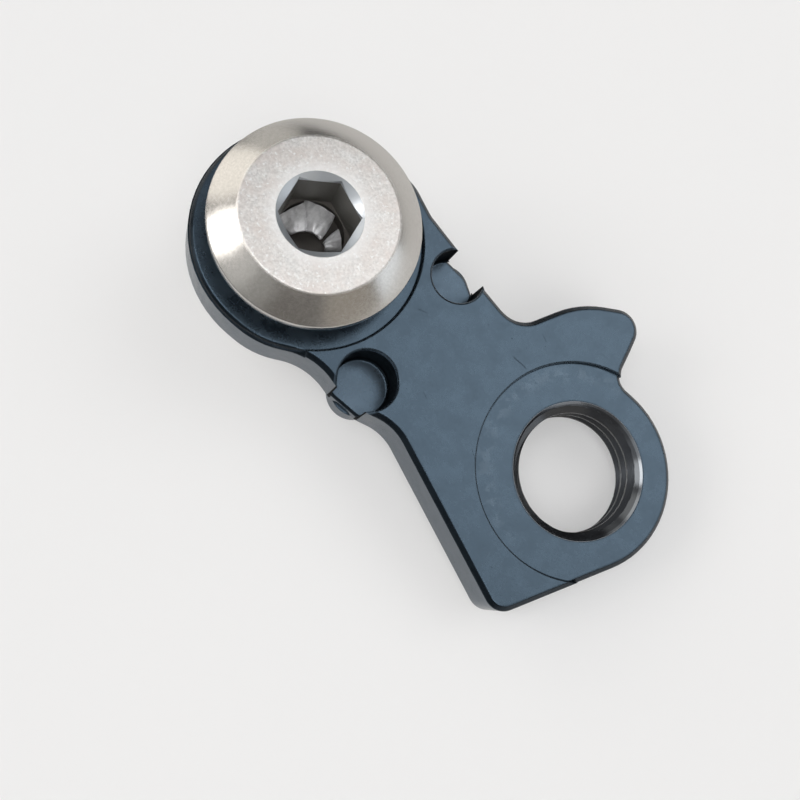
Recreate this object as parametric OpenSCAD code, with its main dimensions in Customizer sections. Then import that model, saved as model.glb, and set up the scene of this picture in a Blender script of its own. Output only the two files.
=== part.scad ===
// Derailleur hanger extender: a machined link plate that moves the derailleur
// away from the frame hanger, with the hanger bolt that carries it.
// The bolt axis is Z, the plate's back face (the hanger seat) lies at Z = 0,
// and X runs from the bolt to the threaded hole.

/* [Link plate] */
// Thickness of the plate
plate_t = 4.1; // [3.6:0.1:5]
// Distance from the bolt axis to the threaded hole
axle_distance = 26; // [25.5:0.1:28]
// Radius of the round end at the bolt
bolt_end_r = 8.5; // [8.45:0.05:8.6]
// Radius of the round end at the threaded hole
thread_end_r = 7.5; // [7.3:0.05:7.6]
// Width of the 45 degree chamfer on the front edges
edge_chamfer = 0.35; // [0.15:0.05:0.4]
// Width of the 45 degree chamfer on the back edges
back_chamfer = 0.2; // [0.1:0.05:0.4]
// Radius of the clearance bore for the bolt
bolt_bore_r = 5.1; // [5.05:0.01:5.3]

/* [Machined seats] */
// Depth of the two round seats that are faced into the plate
seat_drop = 0.3; // [0.15:0.05:0.5]
// Radius of the seat round the bolt
bolt_seat_r = 8.4; // [8.2:0.05:8.4]
// Radius of the seat round the threaded hole, which runs off the round end
thread_seat_r = 8.1; // [7.9:0.05:8.3]

/* [Threaded hole] */
// Radius over the thread's roots, M10 x 1
thread_major_r = 5.0; // [4.5:0.05:5]
// Lead-in chamfer at the front
thread_lead_front = 0.2; // [0.1:0.05:0.4]
// Lead-in chamfer at the back
thread_lead_back = 0.2; // [0.1:0.05:0.4]

/* [Stop pockets and pegs] */
// Centre of the lower pocket and its peg, X
low_pocket_x = 9.8; // [9.7:0.05:9.9]
// Centre of the lower pocket and its peg, Y
low_pocket_y = -5.4; // [-5.5:0.05:-5.3]
// Radius of the lower pocket
low_pocket_r = 2.2; // [2.1:0.05:2.2]
// Centre of the upper pocket and its peg, X
high_pocket_x = 10; // [9.9:0.05:10.1]
// Centre of the upper pocket and its peg, Y
high_pocket_y = 5.2; // [5.1:0.05:5.3]
// Radius of the upper pocket
high_pocket_r = 2.05; // [2:0.05:2.1]
// Depth of both pockets from the front face
pocket_depth = 2.9; // [2:0.1:3]
// Radius of the peg behind each pocket
peg_r = 2.0; // [1.8:0.05:2]
// Height of each peg above the back face
peg_h = 1.7; // [1:0.1:2.5]

/* [Hanger bolt] */
// Radius of the shank over the thread, M10
shank_r = 5.0; // [4.9:0.01:5]
// Radius of the plain journal inside the plate
journal_r = 5.04; // [5.01:0.01:5.04]
// Radius of the relief groove between the thread and the journal
relief_r = 4.4; // [4.2:0.1:4.7]
// Width of the relief groove
relief_w = 0.9; // [0.5:0.1:1.2]
// Length of the shank beyond the back face
shank_reach = 7.5; // [6:0.5:10]
// Radius of the head
head_r = 7.5; // [7.2:0.1:8]
// Height of the head's rim
rim_h = 0.9; // [0.6:0.1:1.5]
// Height of the cone above the rim
cone_h = 1.5; // [1:0.1:2]
// Radius of the flat top of the head
head_flat_r = 5.5; // [5:0.1:6]
// Radius of the shoulder under the head
shoulder_r = 6.2; // [5.8:0.1:6.6]
// Height of the shoulder above its seat
shoulder_h = 2.2; // [1.5:0.1:2.5]

/* [Hexagon socket] */
// Width across the flats
hex_af = 5.0; // [4:0.5:6]
// Depth of the hexagon
hex_depth = 4.2; // [3:0.1:5]
// Radius of the countersink at the mouth
socket_mouth_r = 3.05; // [2.95:0.05:3.5]
// Turn of the hexagon about the bolt axis
hex_turn = 39; // [0:1:59]

/* [Hidden] */
$fn = 96;

// Longest step along an arc of the outline, in degrees
arc_step = 5;
// Depth to which the two seats are built as a layer of their own
layer_drop = seat_drop + 2 * edge_chamfer;
bolt_seat_z = plate_t - seat_drop;
// The bolt seat takes in the whole edge of the round end between these angles
seat_from = 76;
seat_to = 308;
hole = [axle_distance, 0];
// The free side below the threaded end leaves it at this angle to X
side_angle = 58.7;
end_drop = (1 - sin(side_angle)) / cos(side_angle) * thread_end_r;
low_corner_y = -12.35;
low_corner_x = hole.x + thread_end_r - (-low_corner_y - end_drop) / tan(side_angle);
// Centre and radius of each pocket, as [x, y, r]
pockets = [
    [low_pocket_x, low_pocket_y, low_pocket_r],
    [high_pocket_x, high_pocket_y, high_pocket_r]
];

// Corners of the link's outline, counterclockwise, each as [x, y, rounding radius]
outline_corners = [
    [-bolt_end_r, bolt_end_r, bolt_end_r],
    [-bolt_end_r, -bolt_end_r, bolt_end_r],
    // waist between the bolt end and the lower pocket's bulge
    [2.3, -bolt_end_r, 6.5],
    [5.85, -6.5, 5],
    // bulge round the lower pocket
    [8.6, -7.2, 2.5],
    [11.2, -7.2, 2.5],
    [13.3, -6.6, 4],
    // lower corner, then the round threaded end
    [low_corner_x, low_corner_y, 1.5],
    [hole.x + thread_end_r, -end_drop, thread_end_r],
    [hole.x + thread_end_r, thread_end_r, thread_end_r],
    // notch and the stop ear
    [hole.x - 1.75, thread_end_r, 1.4],
    [hole.x - 2.2, 9.9, 4],
    [hole.x - 2.95, 13.35, 1.6],
    [18.35, 10.25, 8],
    [15.9, 5.5, 2.2],
    [14.2, 5.5, 2.5],
    // bulge round the upper pocket
    [12.2, 5.85, 0.6],
    [10.7, 6.75, 1.5],
    [8.8, 6.85, 3],
    [5.6, 7.5, 2],
    [3.2, bolt_end_r, 3.5]
];

function unit(v) = v / norm(v);

// Points of the arc of radius r that rounds the corner b between a and c
function corner_arc(a, b, c, r) =
    let(
        u = unit(a - b),
        v = unit(c - b),
        half = acos(u * v) / 2,
        centre = b + unit(u + v) * r / sin(half),
        start = b + u * r / tan(half) - centre,
        first = atan2(start.y, start.x),
        // the arc turns left at a convex corner and right at a concave one
        turn = (u.x * v.y - u.y * v.x < 0 ? 1 : -1) * (180 - 2 * half),
        steps = max(1, ceil(abs(turn) / arc_step))
    )
    [for (i = [0:steps]) centre + r * [cos(first + turn * i / steps), sin(first + turn * i / steps)]];

// Closed path through the rounded corners
function rounded_path(corners) =
    let(
        n = len(corners),
        p = [for (c = corners) [c.x, c.y]],
        path = [
            for (i = [0:n - 1])
                each corner_arc(p[(i + n - 1) % n], p[i], p[(i + 1) % n], corners[i][2])
        ],
        m = len(path)
    )
    [for (i = [0:m - 1]) if (norm(path[i] - path[(i + m - 1) % m]) > 0.01) path[i]];

// The path moved inwards by d, each point along the bisector of its two edges
function inset(path, d) =
    let(n = len(path))
    [
        for (i = [0:n - 1])
            let(
                e1 = unit(path[i] - path[(i + n - 1) % n]),
                e2 = unit(path[(i + 1) % n] - path[i]),
                n1 = [-e1.y, e1.x],
                n2 = [-e2.y, e2.x]
            )
            path[i] + d * (n1 + n2) / (1 + n1 * n2)
    ];

outline = rounded_path(outline_corners);

// Ring with a triangular section that follows the outline and cuts its edge at
// 45 degrees and w wide. The edge lies at height z, and up is 1 for an edge that
// looks to the front and -1 for one that looks to the back. The ring runs a
// little past both faces it cuts.
module edge_cutter(z, up, w) {
    past = 0.05;
    n = len(outline);
    outer = inset(outline, -past);
    inner = inset(outline, w + past);
    points = concat(
        [for (p = outer) [p.x, p.y, z - up * (w + past)]],
        [for (p = outer) [p.x, p.y, z + up * past]],
        [for (p = inner) [p.x, p.y, z + up * past]]
    );
    faces = [
        for (k = [0:2])
            for (i = [0:n - 1])
                let(
                    j = (i + 1) % n,
                    a = k * n,
                    b = (k + 1) % 3 * n
                )
                each up > 0
                    ? [[a + i, b + i, b + j], [a + i, b + j, a + j]]
                    : [[a + i, b + j, b + i], [a + i, a + j, b + j]]
    ];
    polyhedron(points, faces, convexity = 8);
}

// Plate with the link's outline and chamfered edges, with its front face at z1
module plate_blank(z1) {
    difference() {
        linear_extrude(z1)
            polygon(outline);
        edge_cutter(z1, 1, edge_chamfer);
        edge_cutter(0, -1, back_chamfer);
    }
}

// Space above the two seats: a disc over each, and the whole edge of the round
// end at the bolt, where the seat runs off the plate
module above_seats() {
    reach = 2 * bolt_end_r;
    height = layer_drop + 1;
    translate([0, 0, plate_t - layer_drop]) {
        cylinder(r = bolt_seat_r, h = height);
        linear_extrude(height)
            polygon([
                [0, 0],
                for (k = [0:4])
                    let(a = seat_from + (seat_to - seat_from) * k / 4)
                    reach * [cos(a), sin(a)]
            ]);
        translate(hole)
            cylinder(r = thread_seat_r, h = height);
    }
}

// The two layers of the plate: at full height, and lower where a seat has been
// faced off, which has an edge chamfer of its own
module plate_with_seats() {
    difference() {
        plate_blank(plate_t);
        above_seats();
    }
    intersection() {
        plate_blank(bolt_seat_z);
        above_seats();
    }
}

// Through hole of radius r with lead-in chamfers at both faces
module led_in_hole(r, z_front, lead_front, lead_back) {
    translate([0, 0, -1])
        cylinder(r = r, h = z_front + 2);
    translate([0, 0, z_front - lead_front])
        cylinder(r1 = r, r2 = r + lead_front + 0.5, h = lead_front + 0.5);
    translate([0, 0, -0.5])
        cylinder(r1 = r + lead_back + 0.5, r2 = r, h = lead_back + 0.5);
}

// Blind pocket of radius r that breaks open through the outline, with a small
// slope round its floor and a broken edge at the rim
module stop_pocket(r) {
    floor_z = plate_t - pocket_depth;
    corner = 0.15;
    rim = 0.06;
    rotate_extrude()
        polygon([
            [0, floor_z],
            [r - corner, floor_z],
            [r, floor_z + corner],
            [r, plate_t - rim],
            [r + rim + 0.5, plate_t + 0.5],
            [0, plate_t + 0.5]
        ]);
}

// Chamfers on the outer edges of both pocket floors, where they meet the outline
module pocket_floor_edges() {
    w = 0.2;
    intersection() {
        edge_cutter(plate_t - pocket_depth, 1, w);
        for (c = pockets)
            translate([c.x, c.y, plate_t - pocket_depth - 1])
                cylinder(r = c[2], h = 2);
    }
}

// Peg on the back face that stops against the hanger's tab
module stop_peg() {
    tip = 0.3;
    root = 0.3;
    translate([0, 0, -peg_h + tip])
        cylinder(r = peg_r, h = peg_h - tip + root);
    translate([0, 0, -peg_h])
        cylinder(r1 = peg_r - tip, r2 = peg_r, h = tip);
}

module extender_link() {
    color([0.1, 0.11, 0.13])
    difference() {
        union() {
            plate_with_seats();
            for (c = pockets)
                translate([c.x, c.y, 0])
                    stop_peg();
        }
        led_in_hole(bolt_bore_r, bolt_seat_z, 0.25, 0.3);
        translate(hole)
            led_in_hole(thread_major_r, bolt_seat_z, thread_lead_front, thread_lead_back);
        for (c = pockets)
            translate([c.x, c.y, 0])
                stop_pocket(c[2]);
        pocket_floor_edges();
    }
}

// Half profile of the turned bolt, [radius, height] from the tip to the top
function bolt_profile() =
    let(
        tip = 0.8,
        under = bolt_seat_z + shoulder_h,
        rim_top = under + rim_h,
        top = rim_top + cone_h
    )
    [
        [0, -shank_reach],
        [shank_r - tip, -shank_reach],
        [shank_r, -shank_reach + tip],
        [shank_r, 0],
        [relief_r, 0],
        [relief_r, relief_w],
        [journal_r, relief_w],
        [journal_r, bolt_seat_z],
        [shoulder_r - 0.2, bolt_seat_z],
        [shoulder_r, bolt_seat_z + 0.2],
        [shoulder_r, under],
        [head_r - 0.2, under],
        [head_r, under + 0.2],
        [head_r, rim_top],
        [head_flat_r, top],
        [0, top]
    ];

// Hexagon socket with its countersunk mouth and the drilled pilot hole below
module hex_socket(top) {
    mouth = 0.35;
    pilot_r = hex_af / 2 - 0.05;
    rotate([0, 0, hex_turn])
        translate([0, 0, top - hex_depth])
            cylinder(r = hex_af / sqrt(3), h = hex_depth + 1, $fn = 6);
    translate([0, 0, top - mouth])
        cylinder(r1 = socket_mouth_r - mouth, r2 = socket_mouth_r + 0.5, h = mouth + 0.5);
    translate([0, 0, top - hex_depth - 1.2])
        cylinder(r = pilot_r, h = hex_depth);
    translate([0, 0, top - hex_depth - 1.2 - pilot_r * tan(31)])
        cylinder(r1 = 0, r2 = pilot_r, h = pilot_r * tan(31));
}

module hanger_bolt() {
    color([0.78, 0.77, 0.75])
    difference() {
        rotate_extrude()
            polygon(bolt_profile());
        hex_socket(bolt_seat_z + shoulder_h + rim_h + cone_h);
    }
}

extender_link();
hanger_bolt();
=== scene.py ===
"""Looks of a derailleur hanger extender: finishes, threads and light around its CAD model."""
import math

import bpy
import numpy as np
from mathutils import Matrix, Vector


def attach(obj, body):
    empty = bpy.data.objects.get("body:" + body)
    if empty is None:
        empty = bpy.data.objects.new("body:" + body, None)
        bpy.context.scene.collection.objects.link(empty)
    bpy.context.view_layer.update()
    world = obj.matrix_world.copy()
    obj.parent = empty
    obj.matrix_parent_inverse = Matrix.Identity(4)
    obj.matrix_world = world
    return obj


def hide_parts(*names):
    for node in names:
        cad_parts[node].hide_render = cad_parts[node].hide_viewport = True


MM = 0.001
TAU = 2 * math.pi

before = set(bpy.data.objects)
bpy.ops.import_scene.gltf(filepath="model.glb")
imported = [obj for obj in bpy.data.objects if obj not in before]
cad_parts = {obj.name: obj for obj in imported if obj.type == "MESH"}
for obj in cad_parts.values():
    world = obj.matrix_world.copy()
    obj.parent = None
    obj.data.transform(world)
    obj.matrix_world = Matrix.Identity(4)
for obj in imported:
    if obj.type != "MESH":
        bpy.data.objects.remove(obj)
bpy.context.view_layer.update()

# Sizes of the CAD model, in millimetres
PLATE_T = 4.1
SEAT_Z = 3.8
POCKET_FLOOR_Z = 1.2
HOLE_X = 26.0
THREAD_END_R = 7.5
THREAD_R = 5.0
PITCH = 1.0
BOLT_SEAT_R = 8.4
THREAD_SEAT_R = 8.1
SHANK_TIP_Z = -7.5
SHANK_TIP_R = 4.2
RELIEF_R = 4.4
RELIEF_TOP_Z = 0.9
JOURNAL_R = 5.04
SHOULDER_R = 6.2
HEAD_R = 7.5
HEAD_UNDER_Z = 6.0
RIM_TOP_Z = 6.9
TOP_Z = 8.4
FLAT_R = 5.5
MOUTH_R = 3.05
HEX_AF = 5.0
HEX_DEPTH = 4.2
HEX_TURN = 39.0
PILOT_R = 2.45
PILOT_DEPTH = 1.2
# Stop pockets: centre x, centre y and radius
POCKETS = ((9.8, -5.4, 2.2), (10.0, 5.2, 2.05))

# Sizes of what is only drawn here, in millimetres
BOLT_THREAD_DEPTH = 0.6
HOLE_THREAD_DEPTH = 0.54
SLEEVE_WALL = 0.45
SLEEVE_GAP = 0.02
POCKET_RIM_DEPTH = 0.22
SINK_DEPTH = 0.6
SOCKET_FLOOR_Z = TOP_Z - HEX_DEPTH
# Points on each ring of a turned piece
ROUND = np.arange(240) / 240 * TAU


# Meshes

def ring_mesh(name, rings, closed=False):
    """Closed skin through rings of points: an array [ring, point, xyz] in millimetres.

    Neighbouring rings are joined by quads that wrap round each ring. A fan to the ring's mean
    point closes the first and last ring, or closed joins the last ring to the first.
    """
    count, width, _ = rings.shape
    points = rings.reshape(-1, 3)
    row = np.arange(count if closed else count - 1)[:, None]
    col = np.arange(width)[None, :]
    following = (row + 1) % count
    right = (col + 1) % width
    quads = np.stack([row * width + col, row * width + right,
                      following * width + right, following * width + col], axis=-1).reshape(-1, 4)
    faces = quads.tolist()
    if not closed:
        edge = np.arange(width)
        ahead = np.roll(edge, -1)
        last = (count - 1) * width
        hub = np.full(width, len(points))
        points = np.vstack([points, rings[0].mean(axis=0), rings[-1].mean(axis=0)])
        faces += np.stack([hub, ahead, edge], axis=-1).tolist()
        faces += np.stack([hub + 1, last + edge, last + ahead], axis=-1).tolist()
    mesh = bpy.data.meshes.new(name)
    mesh.from_pydata((points * MM).tolist(), [], faces)
    mesh.validate()
    return mesh


def add_piece(name, mesh, material, crease=35):
    """Piece that rides on the link, smooth except where its faces meet at more than crease degrees."""
    piece = bpy.data.objects.new(name, mesh)
    bpy.context.scene.collection.objects.link(piece)
    mesh.polygons.foreach_set("use_smooth", [True] * len(mesh.polygons))
    mesh.set_sharp_from_angle(angle=math.radians(crease))
    mesh.materials.append(material)
    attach(piece, "root")
    return piece


def round_profile(corners, radius, steps=3):
    """Profile through [r, z] corners, each rounded by an arc of about the radius.

    The arc is the quadratic curve b + (1-t)^2 (a-b) + t^2 (c-b) with a and c at the radius from
    the corner b, or at 0.45 of a shorter side.
    """
    path = np.array(corners, float)
    out = [path[0]]
    t = np.linspace(0, 1, steps + 1)[:, None]
    for a, b, c in zip(path[:-2], path[1:-1], path[2:]):
        to_a = (a - b) / np.linalg.norm(a - b) * min(radius, 0.45 * np.linalg.norm(a - b))
        to_c = (c - b) / np.linalg.norm(c - b) * min(radius, 0.45 * np.linalg.norm(c - b))
        out += list(b + (1 - t) ** 2 * to_a + t ** 2 * to_c)
    out.append(path[-1])
    return np.array(out)


def turned(r, z, angles=ROUND):
    """Rings of points at the radii r and heights z, each one column, or one value per angle."""
    return np.stack(np.broadcast_arrays(r * np.cos(angles), r * np.sin(angles), z), axis=-1)


def thread_depth(z, angles, depth, crest=0.125, root=0.25):
    """Depth below the crests of a right-hand thread: 0 on a crest and depth in a root.

    The axial place within one pitch is s = z / pitch - angle / turn. The form is a straight flank
    between a flat crest and a flat root, each a share of the pitch.
    """
    s = (z / PITCH - angles / TAU) % 1.0
    away = np.abs(s - 0.5) * 2
    flank = (away - crest) / (1 - crest - root)
    return depth * np.clip(flank, 0, 1)


# Node helpers

def add_node(tree, kind, settings=None, **inputs):
    """Node of the kind, with its settings, and its inputs by name: a value, or a socket to link.

    An input named i0, i1 and so on goes by its number.
    """
    node = tree.nodes.new(kind)
    for key, value in (settings or {}).items():
        setattr(node, key, value)
    for key, value in inputs.items():
        numbered = key[0] == "i" and key[1:].isdigit()
        socket = node.inputs[int(key[1:]) if numbered else key.replace("_", " ")]
        if isinstance(value, bpy.types.NodeSocket):
            tree.links.new(value, socket)
        else:
            socket.default_value = value
    return node


def math_node(tree, operation, a, b=0.5, c=0.5, clamp=False):
    settings = {"operation": operation, "use_clamp": clamp}
    return add_node(tree, "ShaderNodeMath", settings, i0=a, i1=b, i2=c).outputs[0]


def both(tree, a, b):
    """Product of two values: where both masks are 1."""
    return math_node(tree, "MULTIPLY", a, b)


def either(tree, a, b):
    """Greater of two values: where one of the masks is 1."""
    return math_node(tree, "MAXIMUM", a, b)


def above(tree, value, limit):
    return math_node(tree, "GREATER_THAN", value, limit)


def below(tree, value, limit):
    return math_node(tree, "LESS_THAN", value, limit)


def near(tree, value, at, half_width):
    """1 where the value is within the half width of at, and 0 elsewhere."""
    away = math_node(tree, "ABSOLUTE", math_node(tree, "SUBTRACT", value, at))
    return below(tree, away, half_width)


def groove(tree, radius, at, half_width):
    """1 on the circle of the radius at, falling in a straight line to 0 at the half width, in millimetres."""
    away = math_node(tree, "ABSOLUTE", math_node(tree, "SUBTRACT", radius, at * MM))
    return math_node(tree, "SUBTRACT", 1.0, math_node(tree, "DIVIDE", away, half_width * MM), clamp=True)


def ramp_node(tree, factor, stops):
    """Colour ramp with [place, colour] stops."""
    node = add_node(tree, "ShaderNodeValToRGB", None, i0=factor)
    elements = node.color_ramp.elements
    while len(elements) < len(stops):
        elements.new(0.5)
    for element, (place, colour) in zip(elements, stops):
        element.position = place
        element.color = (*colour, 1.0)
    return node.outputs[0]


def rising(tree, factor, start, end):
    """0 up to the start and 1 from the end on."""
    return ramp_node(tree, factor, [(start, (0, 0, 0)), (end, (1, 1, 1))])


def mix_colour(tree, factor, a, b):
    """Colour a where the factor is 0 and b where it is 1, each [r, g, b] or a socket."""
    node = add_node(tree, "ShaderNodeMix", {"data_type": "RGBA"}, i0=factor)
    for socket, value in ((node.inputs[6], a), (node.inputs[7], b)):
        if isinstance(value, bpy.types.NodeSocket):
            tree.links.new(value, socket)
        else:
            socket.default_value = (*value, 1.0)
    return node.outputs[2]


def eased_edge(tree, radius):
    """Normal that is rounded over sharp edges within the radius, in metres."""
    return add_node(tree, "ShaderNodeBevel", {"samples": 6}, Radius=radius).outputs[0]


def new_material(name):
    material = bpy.data.materials.new(name)
    material.use_nodes = True
    tree = material.node_tree
    tree.nodes.clear()
    shader = tree.nodes.new("ShaderNodeBsdfPrincipled")
    output = tree.nodes.new("ShaderNodeOutputMaterial")
    tree.links.new(shader.outputs[0], output.inputs[0])
    return material, tree, shader


# Node groups that the finishes share

def new_group(name, inputs, output):
    """Node group with [name, kind] inputs and one value put out, its end sockets and its coordinates."""
    group = bpy.data.node_groups.new(name, "ShaderNodeTree")
    for label, kind in inputs:
        group.interface.new_socket(label, in_out="INPUT", socket_type="NodeSocket" + kind)
    group.interface.new_socket(output, in_out="OUTPUT", socket_type="NodeSocketFloat")
    enter = group.nodes.new("NodeGroupInput").outputs
    leave = group.nodes.new("NodeGroupOutput").inputs[output]
    place = group.nodes.new("ShaderNodeTexCoord").outputs["Object"]
    return group, enter, leave, place


def speckle_group():
    """Group that gives a fine even speckle, 0 to 1 about 0.5."""
    group, enter, leave, place = new_group("fine_speckle", [("Scale", "Float"), ("Contrast", "Float")],
                                           "Speckle")
    noise = add_node(group, "ShaderNodeTexNoise", None, Vector=place, Scale=enter["Scale"],
                     Detail=3.0, Roughness=0.6)
    centred = math_node(group, "SUBTRACT", noise.outputs["Fac"], 0.5)
    spread = math_node(group, "MULTIPLY", centred, enter["Contrast"])
    group.links.new(math_node(group, "ADD", spread, 0.5, clamp=True), leave)
    return group


def distance_group():
    """Group that gives the distance from an upright axis through Centre X and Centre Y, in metres."""
    group, enter, leave, place = new_group("axis_distance", [("Centre X", "Float"), ("Centre Y", "Float")],
                                           "Distance")
    x, y, _ = add_node(group, "ShaderNodeSeparateXYZ", None, Vector=place).outputs
    off_x = math_node(group, "SUBTRACT", x, enter["Centre X"])
    off_y = math_node(group, "SUBTRACT", y, enter["Centre Y"])
    squares = math_node(group, "ADD", math_node(group, "MULTIPLY", off_x, off_x),
                        math_node(group, "MULTIPLY", off_y, off_y))
    group.links.new(math_node(group, "POWER", squares, 0.5), leave)
    return group


def hairline_group():
    """Group that marks one scratch: 1 inside a thin, slightly wavy line on the XY plane, 0 away from it.

    Along the line's direction the mark fades at both ends, and across it the mark is
    1 - (distance / width), cut off at 0.
    """
    group, enter, leave, place = new_group(
        "hairline_scratch",
        [("Start", "Vector"), ("Direction", "Vector"), ("Length", "Float"), ("Width", "Float")],
        "Mark")
    wobble = add_node(group, "ShaderNodeTexNoise", None, Vector=place, Scale=900.0, Detail=2.0)
    shifted = add_node(group, "ShaderNodeVectorMath", {"operation": "MULTIPLY_ADD"},
                       i0=wobble.outputs["Color"], i1=(0.22 * MM, 0.22 * MM, 0.0), i2=place)
    offset = add_node(group, "ShaderNodeVectorMath", {"operation": "SUBTRACT"},
                      i0=shifted.outputs[0], i1=enter["Start"])
    along = add_node(group, "ShaderNodeVectorMath", {"operation": "DOT_PRODUCT"},
                     i0=offset.outputs[0], i1=enter["Direction"]).outputs["Value"]
    across = add_node(group, "ShaderNodeVectorMath", {"operation": "CROSS_PRODUCT"},
                      i0=offset.outputs[0], i1=enter["Direction"])
    across = add_node(group, "ShaderNodeSeparateXYZ", None, Vector=across.outputs[0]).outputs[2]
    away = math_node(group, "DIVIDE", math_node(group, "ABSOLUTE", across), enter["Width"])
    line = math_node(group, "SUBTRACT", 1.0, away, clamp=True)
    share = math_node(group, "DIVIDE", along, enter["Length"])
    middle = math_node(group, "MULTIPLY", share, math_node(group, "SUBTRACT", 1.0, share))
    ends = math_node(group, "MULTIPLY", middle, 6.0, clamp=True)
    group.links.new(math_node(group, "MULTIPLY", line, ends), leave)
    return group


SPECKLE = speckle_group()
DISTANCE = distance_group()
HAIRLINE = hairline_group()


def speckle(tree, scale, contrast):
    node = add_node(tree, "ShaderNodeGroup", {"node_tree": SPECKLE}, Scale=scale, Contrast=contrast)
    return node.outputs["Speckle"]


def axis_distance(tree, centre_x=0.0, centre_y=0.0):
    """Distance from an upright axis through the centre in millimetres, by default the bolt's axis."""
    node = add_node(tree, "ShaderNodeGroup", {"node_tree": DISTANCE},
                    Centre_X=centre_x * MM, Centre_Y=centre_y * MM)
    return node.outputs["Distance"]


def hairlines(tree, lines):
    """Greatest of the marks of all the lines, each [x, y, degrees, length, width] in millimetres."""
    total = 0.0
    for x, y, turn, length, width in lines:
        direction = (math.cos(math.radians(turn)), math.sin(math.radians(turn)), 0.0)
        line = add_node(tree, "ShaderNodeGroup", {"node_tree": HAIRLINE}, Start=(x * MM, y * MM, 0.0),
                        Direction=direction, Length=length * MM, Width=width * MM)
        total = either(tree, total, line.outputs["Mark"])
    return total


# Finishes

# Scratches on the plate's front: x, y, degrees, length and width
PLATE_SCRATCHES = (
    (16.84, 3.38, -2, 1.6, 0.07),
    (17.7, 6.25, -21, 0.7, 0.03),
    (18.7, -4.1, -35, 1.0, 0.025),
    (9.3, 1.2, 20, 0.9, 0.035),
    (13.4, -3.2, -25, 0.7, 0.025),
)


def pocket_masks(tree, z, side, on_front):
    """Masks of the stop pockets: their walls, polished rims, floors (for painted light that lifts their
    shade) and a groove along each rim.
    """
    walls = rims = pocket_floor_painted_light = cuts = 0.0
    under_rim = below(tree, z, (PLATE_T - POCKET_RIM_DEPTH) * MM)
    at_floor = near(tree, z, POCKET_FLOOR_Z * MM, 0.05 * MM)
    for centre_x, centre_y, pocket_r in POCKETS:
        radius = axis_distance(tree, centre_x, centre_y)
        wall = both(tree, side, near(tree, radius, pocket_r * MM, 0.06 * MM))
        rim = near(tree, radius, pocket_r * MM, 0.2 * MM)
        walls = either(tree, walls, both(tree, wall, under_rim))
        rims = either(tree, rims, both(tree, rim, on_front))
        pocket_floor_painted_light = either(tree, pocket_floor_painted_light, both(tree, below(tree, radius, pocket_r * MM), at_floor))
        cuts = either(tree, cuts, both(tree, groove(tree, radius, pocket_r, 0.14), on_front))
    return walls, rims, pocket_floor_painted_light, cuts


def rubbed_seat(tree, x, from_hole):
    """Uneven paler patches on the seat's rim by the threaded hole, strongest towards the bolt."""
    towards_bolt = math_node(tree, "MULTIPLY", math_node(tree, "SUBTRACT", HOLE_X * MM, x), 300.0, clamp=True)
    band = both(tree, groove(tree, from_hole, 7.3, 0.9), towards_bolt)
    return both(tree, band, rising(tree, speckle(tree, 1100.0, 3.5), 0.45, 0.75))


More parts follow.
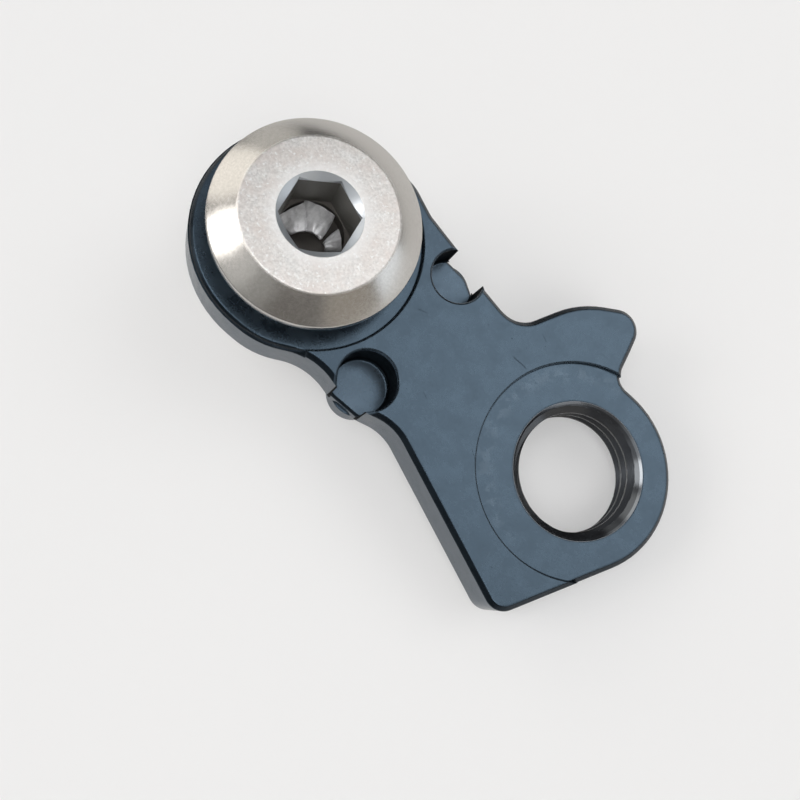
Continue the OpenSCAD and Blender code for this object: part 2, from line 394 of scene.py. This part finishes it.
def black_anodised():
    """Satin black anodised aluminium: fine speckle, soft smudges, sparse pits and hairline scratches.

    A fine groove runs along each faced seat and pocket. The pockets' rims are polished, and their
    floors are painted paler, painted light that lifts the shade inside the pockets. The other sloped
    edges and the pockets' walls are a deeper, duller black, and the upright sides are smoother than
    the faces.
    """
    material, tree, shader = new_material("black_anodised_aluminium")
    coordinates = tree.nodes.new("ShaderNodeTexCoord").outputs
    x, _, z = add_node(tree, "ShaderNodeSeparateXYZ", None, Vector=coordinates["Object"]).outputs
    normal = add_node(tree, "ShaderNodeSeparateXYZ", None, Vector=coordinates["Normal"]).outputs
    upright = math_node(tree, "ABSOLUTE", normal[2])
    sloped = near(tree, upright, 0.707, 0.2)
    side = below(tree, upright, 0.3)
    on_front = above(tree, z, 3 * MM)
    from_hole = axis_distance(tree, HOLE_X)
    walls, rims, pocket_floor_painted_light, pocket_cuts = pocket_masks(tree, z, side, on_front)
    hole_cut = math_node(tree, "MULTIPLY", groove(tree, from_hole, THREAD_SEAT_R, 0.08), 0.5)
    seat_cuts = either(tree, groove(tree, axis_distance(tree), BOLT_SEAT_R, 0.09), hole_cut)
    cuts = either(tree, both(tree, seat_cuts, on_front), pocket_cuts)
    sloped = both(tree, sloped, math_node(tree, "SUBTRACT", 1.0, rims))
    dull = either(tree, sloped, walls)
    fine = speckle(tree, 4200.0, 2.2)
    smudge = speckle(tree, 700.0, 2.6)
    pits = ramp_node(tree, speckle(tree, 4600.0, 2.1), [(0.0, (1, 1, 1)), (0.03, (0, 0, 0))])
    marks = either(tree, pits, hairlines(tree, PLATE_SCRATCHES))
    rubbed = both(tree, rubbed_seat(tree, x, from_hole), on_front)
    colour = mix_colour(tree, smudge, (0.0025, 0.004, 0.006), (0.010, 0.014, 0.018))
    colour = mix_colour(tree, rubbed, colour, (0.040, 0.048, 0.056))
    # Painted light: the pocket floors get a paler colour that lifts the shade inside the pockets.
    colour = mix_colour(tree, pocket_floor_painted_light, colour, (0.045, 0.058, 0.072))
    colour = mix_colour(tree, either(tree, marks, dull), colour, (0.001, 0.0015, 0.002))
    tree.links.new(colour, shader.inputs["Base Color"])
    shader.inputs["IOR"].default_value = 1.77
    level = math_node(tree, "MULTIPLY_ADD", dull, -0.52, 0.74)
    level = math_node(tree, "MULTIPLY_ADD", walls, -0.2, level)
    tree.links.new(level, shader.inputs["Specular IOR Level"])
    shader.inputs["Specular Tint"].default_value = (0.53, 0.76, 1.0, 1.0)
    rough = 0.21
    for mask, change in ((fine, 0.05), (smudge, 0.10), (marks, 0.35), (side, -0.07), (walls, 0.3)):
        rough = math_node(tree, "MULTIPLY_ADD", mask, change, rough)
    tree.links.new(rough, shader.inputs["Roughness"])
    cut_in = add_node(tree, "ShaderNodeBump", {"invert": True}, Strength=1.0, Distance=0.12 * MM,
                      Height=cuts, Normal=eased_edge(tree, 0.2 * MM))
    height = math_node(tree, "SUBTRACT", fine, marks)
    bump = add_node(tree, "ShaderNodeBump", None, Strength=0.08, Distance=0.02 * MM, Height=height,
                    Normal=cut_in.outputs[0])
    tree.links.new(bump.outputs[0], shader.inputs["Normal"])
    return material


def threaded_black():
    """Anodised thread: a glossy neutral black with faint streaks, lighter on the crests, partly rubbed wear
    and partly a painted highlight.
    """
    material, tree, shader = new_material("black_anodised_thread")
    place = tree.nodes.new("ShaderNodeTexCoord").outputs["Object"]
    stretched = add_node(tree, "ShaderNodeVectorMath", {"operation": "MULTIPLY"},
                         i0=place, i1=(1.0, 1.0, 6.0))
    streaks = add_node(tree, "ShaderNodeTexNoise", None, Vector=stretched.outputs[0],
                       Scale=900.0, Detail=3.0).outputs["Fac"]
    radius = axis_distance(tree, HOLE_X)
    # Crests painted lighter: partly rubbed wear, partly a painted highlight along the crest lines.
    crest = below(tree, radius, (THREAD_R - HOLE_THREAD_DEPTH + 0.01) * MM)
    mouth = above(tree, radius, (THREAD_R + 0.01) * MM)
    colour = mix_colour(tree, streaks, (0.004, 0.004, 0.005), (0.020, 0.020, 0.022))
    colour = mix_colour(tree, crest, colour, (0.085, 0.082, 0.078))
    tree.links.new(colour, shader.inputs["Base Color"])
    tree.links.new(math_node(tree, "MULTIPLY_ADD", mouth, 0.75, 1.77), shader.inputs["IOR"])
    shader.inputs["Specular IOR Level"].default_value = 0.62
    shader.inputs["Specular Tint"].default_value = (0.85, 0.92, 1.0, 1.0)
    shader.inputs["Roughness"].default_value = 0.17
    bump = add_node(tree, "ShaderNodeBump", None, Strength=0.2, Distance=0.02 * MM, Height=streaks)
    tree.links.new(bump.outputs[0], shader.inputs["Normal"])
    return material


def turned_steel():
    """Bare steel: a blasted flat with bright grains and a paler ring round the socket's mouth.

    Tool rings run round the cone and rim, and the socket is dark. The masks go by the radius from
    the bolt's axis and the height.
    """
    material, tree, shader = new_material("turned_steel")
    place = tree.nodes.new("ShaderNodeTexCoord").outputs["Object"]
    z = add_node(tree, "ShaderNodeSeparateXYZ", None, Vector=place).outputs[2]
    radius = axis_distance(tree)
    fine = speckle(tree, 5200.0, 3.2)
    grains = rising(tree, speckle(tree, 3900.0, 3.0), 0.80, 0.95)
    cloud = speckle(tree, 600.0, 2.4)
    along = add_node(tree, "ShaderNodeCombineXYZ", None, X=radius, Y=z)
    lathe = add_node(tree, "ShaderNodeTexNoise", {"noise_dimensions": "2D"}, Vector=along.outputs[0],
                     Scale=9000.0, Detail=2.0)
    share = math_node(tree, "DIVIDE", z, TOP_Z * MM)
    on_flat = rising(tree, share, (TOP_Z - 0.12) / TOP_Z, (TOP_Z - 0.03) / TOP_Z)
    inside = both(tree, below(tree, radius, (MOUTH_R - 0.02) * MM), above(tree, z, 2.5 * MM))
    in_socket = both(tree, inside, below(tree, z, (TOP_Z - SINK_DEPTH) * MM))
    in_pilot = both(tree, inside, below(tree, z, (SOCKET_FLOOR_Z + 0.03) * MM))
    in_sink = both(tree, inside, above(tree, z, (TOP_Z - SINK_DEPTH - 0.02) * MM))
    in_sink = both(tree, in_sink, below(tree, z, (TOP_Z - 0.01) * MM))
    ring = math_node(tree, "DIVIDE", math_node(tree, "SUBTRACT", 4.1 * MM, radius), 0.9 * MM, clamp=True)
    cone = mix_colour(tree, fine, (0.54, 0.52, 0.49), (0.61, 0.59, 0.56))
    flat = mix_colour(tree, fine, (0.70, 0.69, 0.67), (0.96, 0.95, 0.93))
    flat = mix_colour(tree, math_node(tree, "MULTIPLY", cloud, 0.7), flat, (0.76, 0.685, 0.64))
    flat = mix_colour(tree, math_node(tree, "MULTIPLY", grains, 0.8), flat, (1.0, 1.0, 0.99))
    flat = mix_colour(tree, math_node(tree, "MULTIPLY", ring, 0.6), flat, (0.98, 0.98, 0.97))
    colour = mix_colour(tree, on_flat, cone, flat)
    colour = mix_colour(tree, in_sink, colour, (0.64, 0.68, 0.72))
    colour = mix_colour(tree, in_socket, colour, (0.155, 0.15, 0.137))
    colour = mix_colour(tree, in_pilot, colour, (0.12, 0.11, 0.10))
    tree.links.new(colour, shader.inputs["Base Color"])
    matt = either(tree, in_socket, math_node(tree, "MULTIPLY", in_sink, 0.4))
    tree.links.new(math_node(tree, "MULTIPLY_ADD", matt, -0.75, 1.0), shader.inputs["Metallic"])
    rough = math_node(tree, "MULTIPLY_ADD", fine, 0.04, 0.20)
    rough = math_node(tree, "MULTIPLY_ADD", either(tree, on_flat, matt), 0.25, rough)
    tree.links.new(rough, shader.inputs["Roughness"])
    grain_height = math_node(tree, "MULTIPLY", fine, math_node(tree, "MULTIPLY_ADD", on_flat, 0.85, 0.04))
    height = math_node(tree, "MULTIPLY_ADD", lathe.outputs["Fac"], 0.12, grain_height)
    bump = add_node(tree, "ShaderNodeBump", None, Strength=0.35, Distance=0.02 * MM, Height=height,
                    Normal=eased_edge(tree, 0.05 * MM))
    tree.links.new(bump.outputs[0], shader.inputs["Normal"])
    return material


def fresh_cut_steel():
    """Bright steel of the burrs, with the fine streaks that a cutting edge leaves."""
    material, tree, shader = new_material("fresh_cut_steel")
    place = tree.nodes.new("ShaderNodeTexCoord").outputs["Object"]
    drawn = add_node(tree, "ShaderNodeMapping", None, Vector=place,
                     Rotation=(0, 0, math.radians(70)), Scale=(1.0, 0.16, 1.0))
    streaks = add_node(tree, "ShaderNodeTexNoise", None, Vector=drawn.outputs[0], Scale=3600.0, Detail=3.0)
    speckles = math_node(tree, "MULTIPLY", speckle(tree, 1700.0, 3.0), 0.5)
    fine = math_node(tree, "MULTIPLY_ADD", streaks.outputs["Fac"], 1.1, speckles)
    fine = math_node(tree, "SUBTRACT", fine, 0.3, clamp=True)
    colour = mix_colour(tree, fine, (0.50, 0.50, 0.51), (0.99, 0.99, 1.0))
    tree.links.new(colour, shader.inputs["Base Color"])
    shader.inputs["Metallic"].default_value = 0.35
    tree.links.new(math_node(tree, "MULTIPLY_ADD", fine, 0.15, 0.30), shader.inputs["Roughness"])
    bump = add_node(tree, "ShaderNodeBump", None, Strength=0.5, Distance=0.06 * MM, Height=fine)
    tree.links.new(bump.outputs[0], shader.inputs["Normal"])
    return material


ANODISED = black_anodised()
STEEL = turned_steel()
BURR = fresh_cut_steel()
THREADED = threaded_black()


# Hanger bolt

def hanger_bolt():
    """Bolt as one skin: tip, threaded shank, journal, shoulder, coned head, socket and pilot hole.

    Each ring is a circle of the turned profile, with the thread's depth taken off on the shank,
    or a hexagon r = (across flats / 2) / cos(angle from the nearest flat) in the socket.
    """
    z = np.linspace(SHANK_TIP_Z, 0.0, 200)[:, None]
    tip = SHANK_TIP_R + (z - SHANK_TIP_Z)
    r = np.minimum(THREAD_R - thread_depth(z, ROUND, BOLT_THREAD_DEPTH), tip)
    spans = [turned(r, z)]
    body = round_profile([
        [RELIEF_R, 0.0], [RELIEF_R, RELIEF_TOP_Z], [JOURNAL_R, RELIEF_TOP_Z], [JOURNAL_R, SEAT_Z],
        [SHOULDER_R - 0.2, SEAT_Z],
        [SHOULDER_R, SEAT_Z + 0.2], [SHOULDER_R, HEAD_UNDER_Z], [HEAD_R - 0.2, HEAD_UNDER_Z],
        [HEAD_R, HEAD_UNDER_Z + 0.2], [HEAD_R, RIM_TOP_Z], [FLAT_R, TOP_Z], [MOUTH_R, TOP_Z],
    ], 0.07)
    spans.append(turned(body[:, :1], body[:, 1:]))
    flat_turn = math.radians(HEX_TURN + 30)
    off_flat = (ROUND - flat_turn + TAU / 12) % (TAU / 6) - TAU / 12
    hexagon = HEX_AF / 2 / np.cos(off_flat)
    cone_foot = TOP_Z - (MOUTH_R - hexagon)
    for share in (0.35, 0.7, 1.0):
        r = (1 - share) * MOUTH_R + share * hexagon
        z = (1 - share) * TOP_Z + share * cone_foot
        spans.append(turned(r, z)[None])
    for share in (0.33, 0.66, 1.0):
        z = (1 - share) * cone_foot + share * SOCKET_FLOOR_Z
        spans.append(turned(hexagon, z)[None])
    pilot_z = np.array([[SOCKET_FLOOR_Z], [SOCKET_FLOOR_Z - PILOT_DEPTH]])
    spans.append(turned(np.full_like(pilot_z, PILOT_R), pilot_z))
    return ring_mesh("hanger_bolt_turned", np.concatenate(spans))


bolt = add_piece("turned_hanger_bolt", hanger_bolt(), STEEL)
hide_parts("hanger_bolt")


# Curled burrs that broaching the hexagon leaves on the socket's floor

def curled_burr(name, root_a, root_b, tip_a, tip_b, arch, lift, thick=0.16):
    """Closed petal of metal over a floor: a bilinear patch of four [x, y] corners that is arched.

    u runs across it and v from root to tip. Its width is scaled by (1 - v^4 / 3), its top stands at
    arch * sin(pi u)^0.6 + lift * sin(1.3 v) plus a fine ripple, and its underside lies the
    thickness below.
    """
    u = np.linspace(0, 1, 17)[None, :]
    v = np.linspace(0, 1, 15)[:, None]
    narrowed = 0.5 + (u - 0.5) * (1 - v ** 4 / 3)
    a, b, c, d = (np.array(corner, float)[None, None, :] for corner in (root_a, root_b, tip_a, tip_b))
    across = narrowed[..., None]
    down = (v + 0 * u)[..., None]
    flat = (1 - down) * ((1 - across) * a + across * b) + down * ((1 - across) * c + across * d)
    ripple = 0.03 * np.sin(9 * v + 4 * u) + 0.045 * np.sin(15 * u + 3 * v)
    rise = arch * np.sin(np.pi * u) ** 0.6 + lift * np.sin(1.3 * v) + ripple
    height = SOCKET_FLOOR_Z + 0.05 + rise
    top = np.dstack([flat, height])
    under = np.dstack([flat, height - thick])
    return ring_mesh(name, np.concatenate([top, under[:, ::-1]], axis=1))


BURRS = (
    ("curled_burr_left", (-2.55, -0.85), (-1.75, 1.55), (-1.10, -1.35), (-0.10, 0.10), 0.34, 0.35),
    ("curled_burr_upper", (-1.90, 1.60), (0.45, 2.25), (-0.50, -0.20), (1.05, 0.05), 0.42, 0.45),
    ("curled_burr_right", (1.20, 1.65), (2.45, 0.50), (0.95, 0.10), (1.75, -0.50), 0.50, 0.20),
)
for burr_name, *burr_shape in BURRS:
    add_piece(burr_name, curled_burr(burr_name, *burr_shape), BURR, crease=60)


def bead(name, centre, radius):
    """Small ball at the tip of a burr: r = radius sin(t), z = -radius cos(t), with t from 0 to pi."""
    t = np.linspace(0.15, math.pi - 0.15, 13)[:, None]
    rings = turned(radius * np.sin(t), -radius * np.cos(t), np.arange(24) / 24 * TAU)
    return ring_mesh(name, rings + np.array(centre))


add_piece("burr_bead", bead("burr_bead", (0.72, 0.06, SOCKET_FLOOR_Z + 0.62), 0.17), BURR)


# Thread in the link's hole

def internal_thread():
    """Sleeve whose inner face is the thread: r = root radius minus what is left of the form's depth.

    A lead-in cone r = mouth radius minus the depth below the face cuts the crests at each end. The
    outer face lies hidden in the link.
    """
    z = np.linspace(SLEEVE_GAP, SEAT_Z - SLEEVE_GAP, 150)[:, None]
    cut = thread_depth(z, ROUND, HOLE_THREAD_DEPTH, crest=0.14, root=0.14)
    form = THREAD_R - SLEEVE_GAP - (HOLE_THREAD_DEPTH - cut)
    mouth = THREAD_R + 0.18
    r = np.maximum(form, np.maximum(mouth - (SEAT_Z - z), mouth - z))
    outer_z = np.linspace(SEAT_Z - SLEEVE_GAP, SLEEVE_GAP, 4)[:, None]
    outer_r = np.full_like(outer_z, THREAD_R + SLEEVE_WALL)
    rings = np.concatenate([turned(r, z), turned(outer_r, outer_z)])
    rings[..., 0] += HOLE_X
    return ring_mesh("derailleur_thread", rings, closed=True)


add_piece("derailleur_thread", internal_thread(), THREADED)


# CAD node that stays

for link_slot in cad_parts["extender_link"].material_slots:
    link_slot.material = ANODISED


# Floor, light and camera

# The part leans on the floor with the bolt's tip and the far end of the plate
FAR_END_X = HOLE_X + THREAD_END_R
LEAN = math.atan(-SHANK_TIP_Z / (FAR_END_X - SHANK_TIP_R))
FLOOR_UP = Vector((-math.sin(LEAN), 0, math.cos(LEAN)))
FLOOR_POINT = Vector((FAR_END_X * MM, 0, 0))
FLOOR_HALF = 2.0


def floor():
    """Pale floor under the leaning part: lightened for the camera, and clear when seen from below."""
    mesh = bpy.data.meshes.new("floor")
    across = Vector((0, 1, 0)) * FLOOR_HALF
    along = Vector((0, 1, 0)).cross(FLOOR_UP) * FLOOR_HALF
    corners = [FLOOR_POINT + along * a + across * b for a, b in ((-1, -1), (1, -1), (1, 1), (-1, 1))]
    mesh.from_pydata(corners, [], [(0, 1, 2, 3)])
    piece = bpy.data.objects.new("floor", mesh)
    bpy.context.scene.collection.objects.link(piece)
    material, tree, shader = new_material("pale_floor")
    shader.inputs["Base Color"].default_value = (0.90, 0.895, 0.89, 1)
    shader.inputs["Roughness"].default_value = 0.8
    shader.inputs["Specular IOR Level"].default_value = 0.1
    pale = add_node(tree, "ShaderNodeEmission", None, Color=(1.0, 1.0, 1.0, 1.0))
    camera_ray = tree.nodes.new("ShaderNodeLightPath").outputs["Is Camera Ray"]
    lightened = add_node(tree, "ShaderNodeMixShader", None, i0=math_node(tree, "MULTIPLY", camera_ray, 0.32),
                         i1=shader.outputs[0], i2=pale.outputs[0])
    clear = tree.nodes.new("ShaderNodeBsdfTransparent")
    back = tree.nodes.new("ShaderNodeNewGeometry").outputs["Backfacing"]
    seen = add_node(tree, "ShaderNodeMixShader", None, i0=back, i1=lightened.outputs[0], i2=clear.outputs[0])
    tree.links.new(seen.outputs[0], tree.nodes["Material Output"].inputs[0])
    mesh.materials.append(material)


# Soft patches of the sky: the direction each lies in, its colour, and the angles within which it
# fades from nothing to full, in degrees
SKY_PATCHES = (
    ((-0.45, 0.88, 0.14), (0.03, 0.03, 0.03), 26, 12),
    ((-0.78, 0.63, 0.02), (0.70, 0.69, 0.66), 16, 8),
    ((0.88, -0.19, 0.43), (0.42, 0.39, 0.35), 28, 12),
    ((0.87, 0.45, 0.24), (1.25, 1.33, 1.42), 20, 12),
    ((0.36, -0.75, 0.55), (0.20, 0.19, 0.18), 26, 16),
    ((-0.10, -0.84, 0.54), (0.40, 0.40, 0.39), 18, 8),
    ((-0.40, -0.77, 0.50), (0.75, 0.75, 0.74), 16, 8),
    ((-0.965, 0.13, 0.17), (1.45, 1.40, 1.32), 23, 16),
    ((-0.77, -0.50, 0.40), (3.8, 3.7, 3.6), 17, 12),
    ((0.20, 0.42, 0.885), (1.98, 1.98, 1.98), 23, 11),
    ((0.22, -0.37, 0.90), (3.6, 3.6, 3.6), 16, 10),
    ((-0.33, -0.24, 0.91), (3.4, 3.4, 3.4), 15, 9),
)
# Grey of the plain sky, by its height from 0 straight down to 1 straight up
SKY_GREYS = (
    (0.0, (0.5, 0.5, 0.5)),
    (0.49, (0.5, 0.5, 0.5)),
    (0.51, (0.20, 0.20, 0.20)),
    (0.80, (0.22, 0.22, 0.22)),
    (1.0, (0.32, 0.32, 0.33)),
)


def sky():
    """Studio sky: dim all round, with large soft lamps overhead and weaker ones about the sides."""
    world = bpy.data.worlds.new("soft_sky")
    bpy.context.scene.world = world
    world.use_nodes = True
    tree = world.node_tree
    tree.nodes.clear()
    place = tree.nodes.new("ShaderNodeTexCoord").outputs["Generated"]
    height = add_node(tree, "ShaderNodeVectorMath", {"operation": "DOT_PRODUCT"}, i0=place, i1=FLOOR_UP)
    lifted = math_node(tree, "MULTIPLY_ADD", height.outputs["Value"], 0.5, 0.5)
    colour = ramp_node(tree, lifted, SKY_GREYS)
    for direction, patch, outer, inner in SKY_PATCHES:
        towards = add_node(tree, "ShaderNodeVectorMath", {"operation": "DOT_PRODUCT"},
                           i0=place, i1=Vector(direction).normalized())
        soft = add_node(tree, "ShaderNodeMapRange", {"interpolation_type": "SMOOTHSTEP"},
                        Value=towards.outputs["Value"],
                        From_Min=math.cos(math.radians(outer)), From_Max=math.cos(math.radians(inner)))
        colour = mix_colour(tree, soft.outputs[0], colour, patch)
    light = add_node(tree, "ShaderNodeBackground", None, Color=colour, Strength=1.0)
    backdrop = add_node(tree, "ShaderNodeBackground", None, Color=(0.93, 0.92, 0.91, 1), Strength=1.0)
    camera_ray = tree.nodes.new("ShaderNodeLightPath").outputs["Is Camera Ray"]
    shown = add_node(tree, "ShaderNodeMixShader", None, i0=camera_ray,
                     i1=light.outputs[0], i2=backdrop.outputs[0])
    output = tree.nodes.new("ShaderNodeOutputWorld")
    tree.links.new(shown.outputs[0], output.inputs[0])


CAMERA_PLACE = Vector((6.38, -25.44, 71.11)) * MM
CAMERA_VIEW = Vector((0.086, 0.2912, -0.9528)).normalized()
CAMERA_RIGHT = Vector((0.7547, 0.6052, 0.2531))
CAMERA_LENS = 44.8


def facing(view, right):
    """Rotation whose -Z is the view and whose X is as near to right as it can be."""
    back = -view.normalized()
    up = back.cross(right).normalized()
    side = up.cross(back)
    return Matrix((side, up, back)).transposed()


def camera():
    """Camera at the photograph's place and angle."""
    data = bpy.data.cameras.new("camera")
    data.lens = CAMERA_LENS
    data.sensor_width = 36
    data.clip_start = 1 * MM
    piece = bpy.data.objects.new("camera", data)
    bpy.context.scene.collection.objects.link(piece)
    piece.matrix_world = Matrix.Translation(CAMERA_PLACE) @ facing(CAMERA_VIEW, CAMERA_RIGHT).to_4x4()
    bpy.context.scene.camera = piece


floor()
sky()
camera()

bpy.context.scene.view_settings.view_transform = "Standard"
